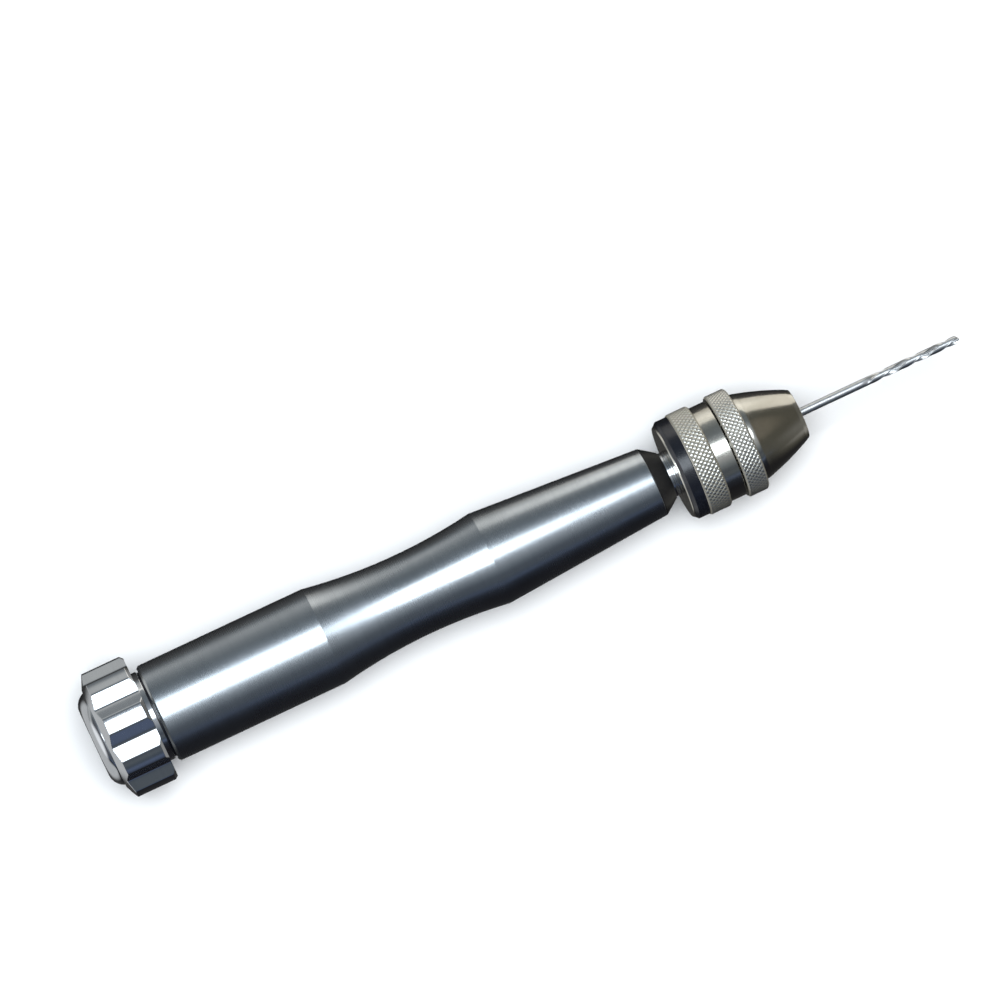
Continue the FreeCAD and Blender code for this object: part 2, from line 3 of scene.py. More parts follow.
import bmesh
import bpy
import numpy as np
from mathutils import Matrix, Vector


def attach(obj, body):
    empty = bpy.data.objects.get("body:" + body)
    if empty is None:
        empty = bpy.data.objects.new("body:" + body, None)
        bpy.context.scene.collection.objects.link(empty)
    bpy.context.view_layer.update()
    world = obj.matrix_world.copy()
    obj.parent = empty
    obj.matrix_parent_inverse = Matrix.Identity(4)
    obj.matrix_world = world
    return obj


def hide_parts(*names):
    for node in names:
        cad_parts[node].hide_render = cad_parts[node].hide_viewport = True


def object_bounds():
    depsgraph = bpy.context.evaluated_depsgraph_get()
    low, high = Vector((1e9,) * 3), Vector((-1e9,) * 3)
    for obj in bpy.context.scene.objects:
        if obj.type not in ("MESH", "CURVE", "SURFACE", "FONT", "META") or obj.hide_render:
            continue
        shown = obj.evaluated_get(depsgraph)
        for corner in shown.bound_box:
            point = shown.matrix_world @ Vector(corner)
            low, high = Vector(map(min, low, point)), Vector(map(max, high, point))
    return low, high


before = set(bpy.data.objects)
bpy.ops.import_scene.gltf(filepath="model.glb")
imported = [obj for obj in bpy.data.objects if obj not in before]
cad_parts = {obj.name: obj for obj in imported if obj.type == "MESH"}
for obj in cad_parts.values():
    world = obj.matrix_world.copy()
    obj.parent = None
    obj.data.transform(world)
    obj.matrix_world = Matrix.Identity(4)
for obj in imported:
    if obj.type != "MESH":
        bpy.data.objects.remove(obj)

# The looks of a pin vise drill. Lengths in this script are millimetres along the tool's
# axis (x) and out from it (r), turned into metres when a mesh is made.

MM = 0.001
SAME_STATION = 0.01     # points this close along the axis count as one ring
CAD_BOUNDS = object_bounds()


# ---------------------------------------------------------------- reading the frame

def span(node):
    """Rear station, front station and largest radius of a CAD node."""
    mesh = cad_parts[node].data
    points = np.empty(len(mesh.vertices) * 3)
    mesh.vertices.foreach_get("co", points)
    points = points.reshape(-1, 3) / MM
    return points[:, 0].min(), points[:, 0].max(), np.hypot(points[:, 1], points[:, 2]).max()


def radius_at(node, station):
    """Radius of a CAD node's ring of points nearest to a station."""
    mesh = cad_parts[node].data
    points = [vertex.co / MM for vertex in mesh.vertices]
    nearest = min(abs(point.x - station) for point in points)
    return max(math.hypot(point.y, point.z) for point in points
               if abs(point.x - station) < nearest + SAME_STATION)


# ---------------------------------------------------------------- mesh making

FINE = 256          # segments round a large turned piece
WELD = 1e-7         # metres; points closer than this are one
SHARP = math.radians(35)    # edges that turn by more are shaded sharp
ROUND_STEPS = 5     # points on a rounded edge
EDGE_SHARE = 0.48   # the most of an edge that one rounding may take
PAD = 0.05          # a point this far beside it keeps the flat there flat when it is shaded


def soften(corners):
    """A closed outline of corners (x, r) or (x, r, edge radius), its edges rounded."""
    outline = []
    for number, corner in enumerate(corners):
        here = Vector(corner[:2])
        if len(corner) == 2:
            outline.append(tuple(here))
            continue
        back = Vector(corners[number - 1][:2]) - here
        ahead = Vector(corners[(number + 1) % len(corners)][:2]) - here
        half_turn = (math.pi - back.angle(ahead)) / 2
        reach = min(corner[2] * math.tan(half_turn),
                    back.length * EDGE_SHARE, ahead.length * EDGE_SHARE)
        start = here + back.normalized() * reach
        end = here + ahead.normalized() * reach
        outline.append(beside(start, back, reach))
        outline += [bend(start, here, end, step / ROUND_STEPS) for step in range(ROUND_STEPS + 1)]
        outline.append(beside(end, ahead, reach))
    return outline


def beside(point, edge, reach):
    """A support point on an edge, a little past the end of its rounding."""
    return tuple(point + edge.normalized() * min(PAD, 0.25 * (edge.length / 2 - reach)))


def bend(start, corner, end, part):
    """The point at a share of the way round a rounded corner."""
    return tuple(start * (1 - part) ** 2 + corner * 2 * part * (1 - part) + end * part ** 2)


def arc_points(start, end, radius, swell, steps):
    """Points between start and end on an arc; swell is +1 outwards, -1 inwards."""
    start, end = Vector(start), Vector(end)
    chord = end - start
    outwards = Vector((-chord.y, chord.x)).normalized()
    depth = math.sqrt(radius ** 2 - (chord.length / 2) ** 2)
    points = []
    for step in range(1, steps):
        along = (step / steps - 0.5) * chord.length
        rise = math.sqrt(radius ** 2 - along ** 2) - depth
        points.append(tuple(
            (start + end) / 2 + chord.normalized() * along + outwards * swell * rise))
    return points


def subdivide(start, end, steps):
    """Points between two stations, both ends left out."""
    return [tuple(Vector(start).lerp(Vector(end), step / steps)) for step in range(1, steps)]


def lathe(name, outline, segments=FINE, relief=None, facets=()):
    """Turn a closed outline round the axis. relief(x, r, angle) may change the radii.
    Rows of the outline in the range `facets` are left flat-sided, for knurling."""
    outline = np.array(outline)
    rows = len(outline)
    angles = np.linspace(0, 2 * math.pi, segments, endpoint=False)
    x, angle = np.meshgrid(outline[:, 0], angles, indexing="ij")
    radius = np.repeat(outline[:, 1:2], segments, axis=1)
    if relief:
        radius = relief(x, radius, angle)
    points = np.stack([x, radius * np.sin(angle), radius * np.cos(angle)], axis=-1) * MM
    mesh = bpy.data.meshes.new(name)
    faces, smooth = [], []
    for row in range(rows):
        for column in range(segments):
            a = row * segments + column
            b = row * segments + (column + 1) % segments
            c = (row + 1) % rows * segments + (column + 1) % segments
            d = (row + 1) % rows * segments + column
            if row in facets:
                if (row + column) % 2:
                    faces += [(a, b, d), (b, c, d)]
                else:
                    faces += [(a, b, c), (a, c, d)]
                smooth += [False, False]
            else:
                faces.append((a, b, c, d))
                smooth.append(True)
    mesh.from_pydata(points.reshape(-1, 3), [], faces)
    mesh.polygons.foreach_set("use_smooth", smooth)
    return finish_mesh(name, mesh)


def finish_mesh(name, mesh):
    """Close up the points that meet on the axis, aim the faces outwards, add to the scene."""
    work = bmesh.new()
    work.from_mesh(mesh)
    bmesh.ops.remove_doubles(work, verts=work.verts, dist=WELD)
    bmesh.ops.recalc_face_normals(work, faces=work.faces)
    work.to_mesh(mesh)
    work.free()
    mesh.set_sharp_from_angle(angle=SHARP)
    piece = bpy.data.objects.new(name, mesh)
    bpy.context.collection.objects.link(piece)
    return piece


def place(piece, body, slot, material, *nodes):
    """Give a piece its finish, hang it on its body and hide the CAD nodes it stands for."""
    piece.data.materials.append(material)
    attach(piece, body)
    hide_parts(*nodes)


# ---------------------------------------------------------------- materials

class Nodes:
    """Short forms for building a node material."""

    def __init__(self, name):
        self.material = bpy.data.materials.new(name)
        self.material.use_nodes = True
        self.tree = self.material.node_tree
        self.shader = self.tree.nodes["Principled BSDF"]
        self.place = self.add("ShaderNodeTexCoord").outputs["Object"]

    def add(self, kind, **settings):
        node = self.tree.nodes.new(kind)
        for key, value in settings.items():
            setattr(node, key, value)
        return node

    def link(self, source, target):
        self.tree.links.new(source, target)

    def axis(self, letter):
        split = self.add("ShaderNodeSeparateXYZ")
        self.link(self.place, split.inputs[0])
        return split.outputs[letter]

    def noise(self, scale, detail=4.0, rough=0.6, source=None, stretch=None):
        """A noise field; stretch scales the three axes, source makes it one-dimensional."""
        noise = self.add("ShaderNodeTexNoise")
        noise.inputs["Scale"].default_value = scale
        noise.inputs["Detail"].default_value = detail
        noise.inputs["Roughness"].default_value = rough
        if source is not None:
            noise.noise_dimensions = "1D"
            self.link(source, noise.inputs["W"])
        elif stretch:
            mapping = self.add("ShaderNodeMapping")
            mapping.inputs["Scale"].default_value = stretch
            self.link(self.place, mapping.inputs["Vector"])
            self.link(mapping.outputs[0], noise.inputs["Vector"])
        else:
            self.link(self.place, noise.inputs["Vector"])
        return noise.outputs["Fac"]

    def spread(self, source, low, high, from_low=0.3, from_high=0.7):
        """A field scaled to run from low to high; by default a noise field's usual range is."""
        scaled = self.add("ShaderNodeMapRange")
        scaled.inputs["From Min"].default_value = from_low
        scaled.inputs["From Max"].default_value = from_high
        scaled.inputs["To Min"].default_value = low
        scaled.inputs["To Max"].default_value = high
        self.link(source, scaled.inputs["Value"])
        return scaled.outputs[0]

    def sum(self, *sources):
        total = sources[0]
        for source in sources[1:]:
            adder = self.add("ShaderNodeMath", operation="ADD")
            self.link(total, adder.inputs[0])
            self.link(source, adder.inputs[1])
            total = adder.outputs[0]
        return total

    def multiply(self, first, second):
        product = self.add("ShaderNodeMath", operation="MULTIPLY")
        self.link(first, product.inputs[0])
        self.link(second, product.inputs[1])
        return product.outputs[0]

    def from_axis(self):
        """Distance from the tool's axis."""
        flat = self.add("ShaderNodeVectorMath", operation="MULTIPLY")
        self.link(self.place, flat.inputs[0])
        flat.inputs[1].default_value = (0, 1, 1)
        length = self.add("ShaderNodeVectorMath", operation="LENGTH")
        self.link(flat.outputs[0], length.inputs[0])
        return length.outputs["Value"]

    def blend(self, factor, first, second):
        """A mix of two colours or colour fields."""
        mix = self.add("ShaderNodeMix", data_type="RGBA")
        self.link(factor, mix.inputs["Factor"])
        for socket, value in (("A", first), ("B", second)):
            target = next(item for item in mix.inputs
                          if item.name == socket and item.type == "RGBA")
            if isinstance(value, tuple):
                target.default_value = (*value, 1)
            else:
                self.link(value, target)
        return next(item for item in mix.outputs if item.type == "RGBA")

    def bump(self, height, distance, under=None):
        """Fine relief of a height field, in metres, on top of the relief `under` it."""
        bump = self.add("ShaderNodeBump")
        bump.inputs["Strength"].default_value = 1.0
        bump.inputs["Distance"].default_value = distance
        self.link(height, bump.inputs["Height"])
        if under is not None:
            self.link(under, bump.inputs["Normal"])
        return bump.outputs[0]

    def set(self, **values):
        """Constants go on the shader's own sockets; anything else is linked."""
        for key, value in values.items():
            socket = self.shader.inputs[key.replace("_", " ")]
            if isinstance(value, (int, float)):
                socket.default_value = value
            elif isinstance(value, tuple):
                socket.default_value = (*value, 1)
            else:
                self.link(value, socket)


def turned_metal(name, light, dark, rough, lines=9000, line_depth=2e-6, blotch=60, streak=0.5):
    """Metal straight from the lathe: fine rings round the axis, streaks and handling marks."""
    nodes = Nodes(name)
    station = nodes.axis("X")
    rings = nodes.noise(lines, detail=3, source=station)
    broad = nodes.noise(lines / 14, detail=2, source=station)
    smudge = nodes.noise(blotch, detail=5, rough=0.65)
    hairline = nodes.noise(900, detail=2, stretch=(9, 1, 1))
    tone = nodes.sum(nodes.spread(smudge, 0.0, 0.6), nodes.spread(broad, 0.0, streak))
    nodes.set(
        Metallic=1.0,
        Base_Color=nodes.blend(tone, light, dark),
        Roughness=nodes.sum(
            nodes.spread(smudge, rough * 0.8, rough * 1.15),
            nodes.spread(rings, 0.0, rough * 0.12)))
    surface = nodes.bump(rings, line_depth)
    nodes.set(Normal=nodes.bump(hairline, line_depth * 0.3, under=surface))
    return nodes.material


KNURL_FLOOR = 9.88              # knurled metal lies outside this radius
GROOVE_GRIME_AND_SHADE_RADII = (9.99, 10.07)     # grime and painted shade fill its grooves to the first, and end at the second
KNURL_FADE = 0.02
# Colour in the knurling's grooves: grime, and painted shade for the deep recesses.
GROOVE_GRIME_AND_SHADE = (0.66, 0.62, 0.52)
# Painted sheen: the knurled nickel is coloured lighter and warmer than the same plate beside it.
KNURL_PAINTED_SHEEN = (1.0, 0.98, 0.91)


def plated_metal(name, light, dark, rough, wear=140):
    """Nickel plate: slightly uneven, with tarnish in patches and small scratches. The knurling is
    painted lighter, a painted sheen, and its grooves darker, with grime and painted shade."""
    nodes = Nodes(name)
    patches = nodes.noise(wear, detail=6, rough=0.7)
    specks = nodes.noise(wear * 14, detail=2)
    rings = nodes.noise(7000, detail=2, source=nodes.axis("X"))
    scratches = nodes.noise(500, detail=3, rough=0.8, stretch=(1, 7, 7))
    tone = nodes.sum(nodes.spread(patches, 0.0, 0.7), nodes.spread(specks, 0.0, 0.25, 0.55, 0.8))
    out = nodes.from_axis()
    knurled = nodes.spread(out, 0.0, 1.0, (KNURL_FLOOR - KNURL_FADE) * MM, KNURL_FLOOR * MM)
    # Mask of the knurling's grooves, which are darkened with grime and painted shade.
    grooves = nodes.multiply(
        knurled, nodes.spread(out, 1.0, 0.0, GROOVE_GRIME_AND_SHADE_RADII[0] * MM, GROOVE_GRIME_AND_SHADE_RADII[1] * MM))
    nodes.set(
        Metallic=1.0,
        # Base colour: the knurling is painted lighter as a painted sheen, and its grooves darker
        # with grime and painted shade.
        Base_Color=nodes.blend(
            grooves, nodes.blend(knurled, nodes.blend(tone, light, dark), KNURL_PAINTED_SHEEN), GROOVE_GRIME_AND_SHADE),
        Roughness=nodes.sum(
            nodes.spread(patches, rough * 0.75, rough * 1.3),
            nodes.spread(scratches, 0.0, rough * 0.4, 0.5, 0.8),
            nodes.spread(knurled, 0.0, 0.16, 0.0, 1.0),
            nodes.spread(grooves, 0.0, 0.3, 0.0, 1.0)))
    surface = nodes.bump(rings, 1.2e-6)
    surface = nodes.bump(scratches, 2.5e-6, under=surface)
    nodes.set(Normal=nodes.bump(specks, 1.5e-6, under=surface))
    return nodes.material


def black_finish(name, color, worn, rough, grain, specular=0.5):
    """Black anodising or moulded plastic with a fine grain and dusty scuffs."""
    nodes = Nodes(name)
    scuffs = nodes.noise(320, detail=6, rough=0.75, stretch=(1, 2.5, 2.5))
    fine = nodes.noise(grain, detail=3)
    nodes.set(
        Base_Color=nodes.blend(nodes.spread(scuffs, 0.0, 1.0, 0.55, 0.75), color, worn),
        Roughness=nodes.sum(
            nodes.spread(scuffs, rough * 0.9, rough * 1.3),
            nodes.spread(fine, 0.0, rough * 0.2)),
        Specular_IOR_Level=specular,
        Normal=nodes.bump(fine, 4e-6))
    return nodes.material


SATIN_ALUMINIUM = turned_metal(
    "satin_aluminium", (0.60, 0.635, 0.665), (0.50, 0.53, 0.56), 0.26, line_depth=4e-7, streak=0.25)
BRIGHT_ALUMINIUM = turned_metal(
    "bright_aluminium", (0.80, 0.815, 0.83), (0.70, 0.72, 0.74), 0.11, lines=6000, line_depth=1e-6)
WARM_NICKEL = plated_metal("warm_nickel", (0.80, 0.775, 0.70), (0.64, 0.61, 0.53), 0.16)
BRIGHT_NICKEL = plated_metal("bright_nickel", (0.76, 0.78, 0.80), (0.58, 0.60, 0.62), 0.13)
DRILL_STEEL = turned_metal(
    "drill_steel", (0.95, 0.95, 0.94), (0.80, 0.80, 0.80), 0.34, lines=14000, blotch=400)
PLAIN_STEEL = turned_metal(
    "plain_steel", (0.60, 0.60, 0.60), (0.46, 0.46, 0.46), 0.24, lines=8000)
BLACK_ANODISED = black_finish(
    "black_anodised", (0.004, 0.004, 0.005), (0.012, 0.012, 0.014), 0.3, grain=3000)
BLACK_PLASTIC = black_finish(
    "black_plastic", (0.005, 0.006, 0.010), (0.02, 0.023, 0.032), 0.19, grain=1800, specular=0.8)


# ---------------------------------------------------------------- palm cap

FLUTES = 9
FLUTE_FLOOR = 11.0                  # radius at the bottom of a flute
FLUTE_WALL = math.radians(23.1)     # between a flute's wall and the rim
FLUTE_EDGE = 0.12                   # how much a flute's edges are eased
FLUTE_ROOT = 0.02                   # how round its bottom is
FLUTE_SEGMENTS = 64                 # mesh steps from one ridge to the next
COVER_EDGE = (1.9, 3.2)             # the cover's rounded edge: its length, its radius
CAP_REAR = 9.7                      # cap at its rear edge
CAP_CHAMFER = 1.2                   # length of its rear chamfer
CAP_COLLAR = 1.0                    # length of the collar in front of its rim
CAP_BEVEL = 0.6                     # chamfer at the front of the rim
CAP_HOLLOW = 6.6                    # room for the bearing, seen from the front
CAP_WEB = 1.05                      # from the cap's rear edge to the floor under the cover
CAP_EASE = 0.12                     # how much the cap's edges are eased


def make_cap_cover():
    rear, front, radius = span("cap_cover")
    flat = radius_at("cap_cover", rear)
    outline = [(rear, 0.0), (rear, flat * 0.5), (rear, flat - 0.15)]
    edge, rounding = COVER_EDGE
    outline += arc_points((rear, flat), (rear + edge, radius), rounding, 1, 14)
    outline += [(rear + edge, radius), (front, radius), (front, 0.0)]
    cover = lathe("palm_cover", outline)
    place(cover, "cap", "polished_aluminium", BRIGHT_ALUMINIUM, "cap_cover")


def make_swivel_cap():
    rear, front, rim = span("swivel_cap")
    rim_front = front - CAP_COLLAR
    neck = radius_at("swivel_cap", front)
    bore = span("cap_cover")[2] + 0.02
    start = (rear, bore + CAP_EASE)
    outline = [start] + soften_run([
        start, (rear, CAP_REAR), (rear + CAP_CHAMFER, rim),
        (rim_front - CAP_BEVEL, rim), (rim_front, rim - CAP_BEVEL), (rim_front, neck)])
    outline += [                                                # the collar, root then edge
        (rim_front, neck + 0.12), (rim_front + 0.04, neck + 0.03), (rim_front + 0.12, neck),
        (front - 0.15, neck), (front - 0.04, neck - 0.04), (front, neck - 0.15)]
    outline += [(front, CAP_HOLLOW), (rear + CAP_WEB, CAP_HOLLOW), (rear + CAP_WEB, bore),
                (rear + 0.1, bore)]

    def flutes(x, radius, angle):
        spacing = 2 * math.pi / FLUTES
        off = (angle - math.pi + spacing / 2) % spacing - spacing / 2
        slant = np.sqrt(np.sin(off) ** 2 + FLUTE_ROOT ** 2) * math.tan(FLUTE_WALL)
        return ease_min(radius, FLUTE_FLOOR / (np.cos(off) - slant), FLUTE_EDGE)

    cap = lathe("palm_cap", outline, segments=FLUTES * FLUTE_SEGMENTS, relief=flutes)
    place(cap, "cap", "polished_aluminium", BRIGHT_ALUMINIUM, "swivel_cap")


def soften_run(corners):
    """The inner corners of an open run, rounded a little and with points along each edge."""
    run = []
    for number in range(1, len(corners) - 1):
        before, here, after = (Vector(corners[number + step]) for step in (-1, 0, 1))
        start = here + (before - here).normalized() * CAP_EASE
        end = here + (after - here).normalized() * CAP_EASE
        if run:
            run += subdivide(run[-1], start, 12)
        run += [bend(start, here, end, step / 4) for step in range(5)]
    return run


def ease_min(first, second, ease):
    """The smaller of two radii, with the edge between them rounded."""
    share = np.clip(0.5 + (second - first) / (2 * ease), 0, 1)
    return second * (1 - share) + first * share - ease * share * (1 - share)


# ---------------------------------------------------------------- handle

WAIST = (46.4, 80.1)        # creases at the ends of the waist
WAIST_HOLLOW = 104.0        # its lengthwise radius
CREASE = 0.3                # how much a crease is rounded
FLANK = 6.0                 # a support point this far outside each crease
SPINDLE_HOLE = 4.1          # radius of the hole in the handle's front


def make_handle():
    rear, front, radius = span("handle_barrel")
    crease = [(WAIST[0], radius), (WAIST[1], radius_at("handle_barrel", WAIST[1]))]
    nose = radius_at("handle_barrel", front)
    taper = (crease[1][1] - nose) / (front - WAIST[1])
    outline = soften([
        (rear, 3.0),
        (rear, radius - 0.4, 0.15),
        (rear + 0.4, radius, 0.3),
        (WAIST[0] - FLANK, radius),
        (*crease[0], CREASE),
        *arc_points(*crease, WAIST_HOLLOW, -1, 60),
        (*crease[1], CREASE),
        (WAIST[1] + FLANK, crease[1][1] - FLANK * taper),
        (front, nose, 0.14),
        (front, SPINDLE_HOLE),
        (front - 11, SPINDLE_HOLE),
        (front - 13, 3.0),
    ])
    handle = lathe("turned_handle", outline, segments=320)
    place(handle, "handle", "aluminium", SATIN_ALUMINIUM, "handle_barrel")


def make_front_collar():
    rear, front, radius = span("front_collar")
    small = radius_at("front_collar", front)
    collar = lathe("black_cone_collar", soften([
        (rear, radius - 0.05, 0.1), (rear + 0.12, radius - 0.02, 0.1), (front, small, 0.12),
        (front, 3.96), (rear, 3.96)]))
    place(collar, "handle", "black_metal", BLACK_ANODISED, "front_collar")


def make_neck():
    rear, front, _ = span("spindle")
    collar_front = span("front_collar")[1]
    chuck = span("chuck_body")[0]
    wide = radius_at("spindle", chuck)
    middle = (collar_front + chuck) / 2
    thread, root = 4.0, 3.6
    outline = [(rear, 0.0)] + soften([
        (rear, root), (rear + 0.4, thread), (collar_front - 3, thread), (collar_front - 3, 3.93),
        (collar_front, 3.93), (collar_front, wide, 0.1),
        (middle - 0.22, wide, 0.06), (middle - 0.08, wide - 0.16, 0.06),
        (middle + 0.08, wide - 0.16, 0.06), (middle + 0.22, wide, 0.06),
        (chuck, wide, 0.1), (chuck, thread), (front - 0.4, thread), (front, root)])
    outline.append((front, 0.0))
    neck = lathe("bright_neck", outline, segments=128)
    place(neck, "handle", "nickel", BRIGHT_NICKEL, "spindle")


# ---------------------------------------------------------------- chuck

KNURLS_ROUND = 64       # diamonds round a knurled band
KNURLS_ALONG = 4        # diamonds across its width
KNURL_GRID = 8          # mesh steps per diamond
KNURL_DEPTH = 0.12
FLAT_TOP = 1 / 2        # the diamonds are cut off at this share of a full point
KNURL_BEVEL = 0.3       # chamfer at both ends of a knurled band
KNURL_LENGTH = 4.4      # of the first band
COLLAR_BORE = 7.82      # inside the ring, the collar and the sleeve
RING_BEVEL = 0.6
CONE_FOOT = (132.6, 8.55)   # station and radius where the nose cone starts
CONE_LIP = 5.2          # radius at its front edge
CONE_CROWN = 55.0       # its lengthwise radius
NOSE = 4.75             # radius of the chuck's front face
SAME = 1e-6


def knurl_rows(start, end, radius):
    """Outline points across a knurled band, in whole steps of the diamond grid."""
    steps = KNURLS_ALONG * KNURL_GRID
    return [(start + (end - start) * step / steps, radius) for step in range(steps + 1)]


def diamonds(start, end, radius):
    """A relief that cuts crossed grooves into the band between two stations."""

    def groove(turns):
        return 1 - 2 * np.abs(turns % 1 - 0.5)

    def relief(x, r, angle):
        around = angle / (2 * math.pi) * KNURLS_ROUND
        along = (x - start) / (end - start) * KNURLS_ALONG
        height = np.minimum(groove(around + along), groove(around - along))
        height = np.minimum(height, FLAT_TOP) / FLAT_TOP
        edge = np.minimum(x - start, end - x)
        limit = radius - np.clip(KNURL_BEVEL - edge, 0, KNURL_BEVEL)
        cut = np.minimum(radius - KNURL_DEPTH * (1 - height), limit)
        band = (x > start - SAME) & (x < end + SAME) & (r > radius - SAME)
        return np.where(band, cut, r)

    return relief


def make_backing_ring():
    rear, front, radius = span("backing_ring")
    ring = lathe("black_ring", soften([
        (rear, radius - RING_BEVEL, 0.1), (rear + RING_BEVEL, radius, 0.12),
        (front, radius, 0.12), (front, COLLAR_BORE), (rear, COLLAR_BORE)]))
    place(ring, "handle", "black_plastic", BLACK_PLASTIC, "backing_ring")


def make_rear_collar():
    rear, front, radius = span("rear_collar")
    band = radius_at("rear_collar", front)
    knurl_end = rear + KNURL_LENGTH
    rows = knurl_rows(rear, knurl_end, radius)
    outline = rows + soften([
        (knurl_end, band, 0.12), (front - 0.1, band, 0.08), (front, band - 0.12),
        (front, COLLAR_BORE), (rear, COLLAR_BORE)])
    collar = lathe(
        "knurled_rear_collar", outline, segments=KNURLS_ROUND * KNURL_GRID,
        relief=diamonds(rear, knurl_end, radius), facets=range(len(rows) - 1))
    place(collar, "handle", "nickel", WARM_NICKEL, "rear_collar")


def make_front_sleeve():
    rear, front, radius = span("front_sleeve")
    foot_x, foot = CONE_FOOT
    lip_x = front - 0.8
    rows = knurl_rows(rear, foot_x, radius)
    crown = arc_points((foot_x + 1.5, foot - 0.22), (lip_x, CONE_LIP), CONE_CROWN, 1, 24)
    outline = rows + soften([
        (foot_x, foot + 0.55, 0.2), (foot_x, foot, 0.1), (foot_x + 0.8, foot, 3.0),
        *crown, (lip_x, CONE_LIP, 0.3), (front, NOSE, 0.2), (front, 4.3, 0.08),
        (front - 0.4, 4.28), (foot_x, 6.98), (foot_x - 0.1, COLLAR_BORE), (rear, COLLAR_BORE)])
    sleeve = lathe(
        "knurled_nose_sleeve", outline, segments=KNURLS_ROUND * KNURL_GRID,
        relief=diamonds(rear, foot_x, radius), facets=range(len(rows) - 1))
    place(sleeve, "sleeve", "nickel", WARM_NICKEL, "front_sleeve")


# ---------------------------------------------------------------- drill bit

FLUTE_PITCH = 13.0          # length of one full turn of a flute
FLUTED_LENGTH = 20.3
FLUTE_RUNOUT = 5.0          # length over which the flutes reach their full depth
FLUTED_ROWS = 240
POINT_HALF_ANGLE = math.radians(59)
MARGIN, LAND = 0.07, 0.52   # where the margin and the land end, as shares of half a turn
RELIEVED = 0.95             # the land behind the margin, as a share of the radius
WEB = 0.2                   # the bottom of a flute, likewise


def drill_section(angle, radius):
    """Radius of a two-flute drill's section: margin, relieved land, then a hollow flute."""
    turn = (angle / math.pi) % 1
    across = np.clip((turn - LAND) / (1 - LAND), 0, 1)
    hollow = np.sin(math.pi * across ** 0.85) ** 0.75
    section = np.where(turn < MARGIN, radius, RELIEVED * radius)
    return section - (RELIEVED - WEB) * radius * hollow


def make_drill_bit():
    rear, tip, radius = span("drill_bit")
    flute_start = tip - FLUTED_LENGTH
    outline = [(rear, 0.0), (rear, radius - 0.15), (rear + 0.15, radius), (flute_start, radius)]
    outline += [(flute_start + FLUTED_LENGTH * step / FLUTED_ROWS, radius)
                for step in range(1, FLUTED_ROWS)]
    outline += [(tip, 0.0)]

    def relief(x, r, angle):
        twist = angle - 2 * math.pi * (x - flute_start) / FLUTE_PITCH
        runout = np.clip((x - flute_start) / FLUTE_RUNOUT, 0, 1)
        runout = runout * runout * (3 - 2 * runout)
        fluted = r + (drill_section(twist, radius) - radius) * runout
        point = (tip - x) * math.tan(POINT_HALF_ANGLE)
        return np.where(x < flute_start, r, np.minimum(fluted, point))

    bit = lathe("twist_drill", outline, segments=96, relief=relief)
    place(bit, "bit", "steel", DRILL_STEEL, "drill_bit")


# ---------------------------------------------------------------- carried-over CAD nodes

NODE_FINISH = {
    BLACK_PLASTIC: ["dust_washer"],
    WARM_NICKEL: ["chuck_body"],
    PLAIN_STEEL: [
        "bearing_outer_race", "bearing_inner_race", "bearing_balls", "bearing_cage",
        "bearing_shields", "axle_screw", "spacer_washer", "nut_half_a", "nut_half_b",
        "thrust_race", "thrust_balls", "jaw_1", "jaw_2", "jaw_3"],
}


def finish_cad_nodes():
    for material, names in NODE_FINISH.items():
        for name in names:
            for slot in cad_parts[name].material_slots:
                slot.material = material


# ---------------------------------------------------------------- stage, light and camera

CAMERA_AZIMUTH = math.radians(-25.4)
CAMERA_ELEVATION = math.radians(80.5)
CAMERA_DISTANCE = 1.14
CAMERA_LENS = 222.5
AIM = Vector((0.0866, 0.009, 0.0))
FLOOR_REACH, SWEEP = 3.0, 1.2       # flat floor, and the sweep at its edge, in metres
FLOOR_SEGMENTS, SWEEP_STEPS = 96, 12


def make_floor():
    """A pale floor that sweeps up into a low wall all round."""
    low = CAD_BOUNDS[0][2]
    profile = [(0.0, low)]
    for step in range(SWEEP_STEPS + 1):
        rise = math.pi / 2 * step / SWEEP_STEPS
        profile.append((FLOOR_REACH + SWEEP * math.sin(rise), low + SWEEP * (1 - math.cos(rise))))
    points = []
    for column in range(FLOOR_SEGMENTS):
        turn = 2 * math.pi * column / FLOOR_SEGMENTS
        points += [(AIM.x + out * math.cos(turn), out * math.sin(turn), up) for out, up in profile]
    faces = []
    for column in range(FLOOR_SEGMENTS):
        here = column * len(profile)
        there = (column + 1) % FLOOR_SEGMENTS * len(profile)
        faces += [(here + row, there + row, there + row + 1, here + row + 1)
                  for row in range(len(profile) - 1)]
    mesh = bpy.data.meshes.new("floor")
    mesh.from_pydata(points, [], faces)
    floor = finish_mesh("floor", mesh)
    nodes = Nodes("pale_floor")
    nodes.set(
        Base_Color=nodes.blend(nodes.noise(3), (0.86, 0.86, 0.86), (0.88, 0.88, 0.88)),
        Roughness=0.8,
        Specular_IOR_Level=0.1)
    mesh.materials.append(nodes.material)
    floor.visible_glossy = False


def area_light(name, shape, size, place_at, aim_at, radiance, color=(1, 1, 1), mirrored=True,
               lights=True):
    """A flat lamp of a given brightness. One not mirrored is unseen in metal, and one that
    does not light is only seen there."""
    light = bpy.data.lights.new(name, "AREA")
    light.shape = shape
    light.size, light.size_y = size
    filled = math.pi / 4 if shape == "ELLIPSE" else 1
    light.energy = radiance * math.pi * size[0] * size[1] * filled
    light.color = color
    lamp = bpy.data.objects.new(name, light)
    lamp.location = place_at
    lamp.rotation_mode = "QUATERNION"
    lamp.rotation_quaternion = (Vector(aim_at) - Vector(place_at)).to_track_quat("-Z", "Y")
    lamp.visible_glossy = mirrored
    lamp.visible_diffuse = lights
    bpy.context.collection.objects.link(lamp)


